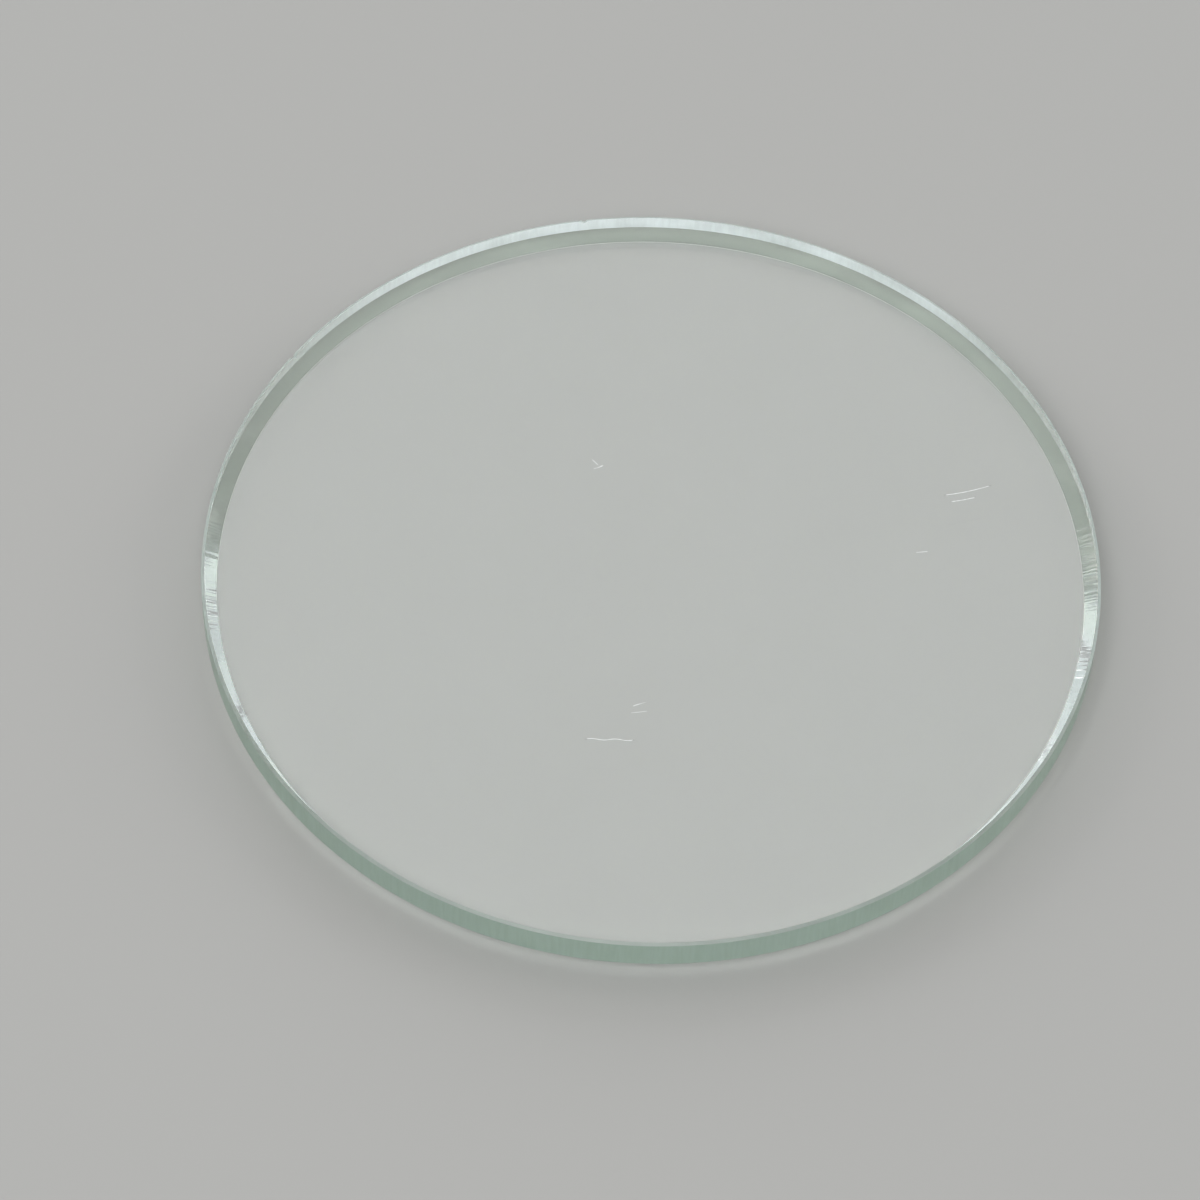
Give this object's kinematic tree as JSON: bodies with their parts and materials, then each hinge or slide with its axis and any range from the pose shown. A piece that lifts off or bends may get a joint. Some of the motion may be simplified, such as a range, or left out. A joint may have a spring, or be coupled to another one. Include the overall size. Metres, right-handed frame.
{
  "type": "watch crystal",
  "caption": "Flat round watch crystal of clear mineral glass, with polished faces, a ground edge and a lead-in bevel round the inner face.",
  "frame": {"origin": "centre of the inner face, the bevelled side that the crystal lies on", "axes": "+Z along the disc's axis, from the inner face to the outer face; X and Y lie in the inner face"},
  "size_m": [0.03, 0.03, 0.0015],
  "materials": {
    "mineral_glass": "polished faces, finely ground edge, semi-polished bevel"
  },
  "bodies": {
    "root": {"glass_crystal": "mineral_glass"}
  },
  "joints": []
}
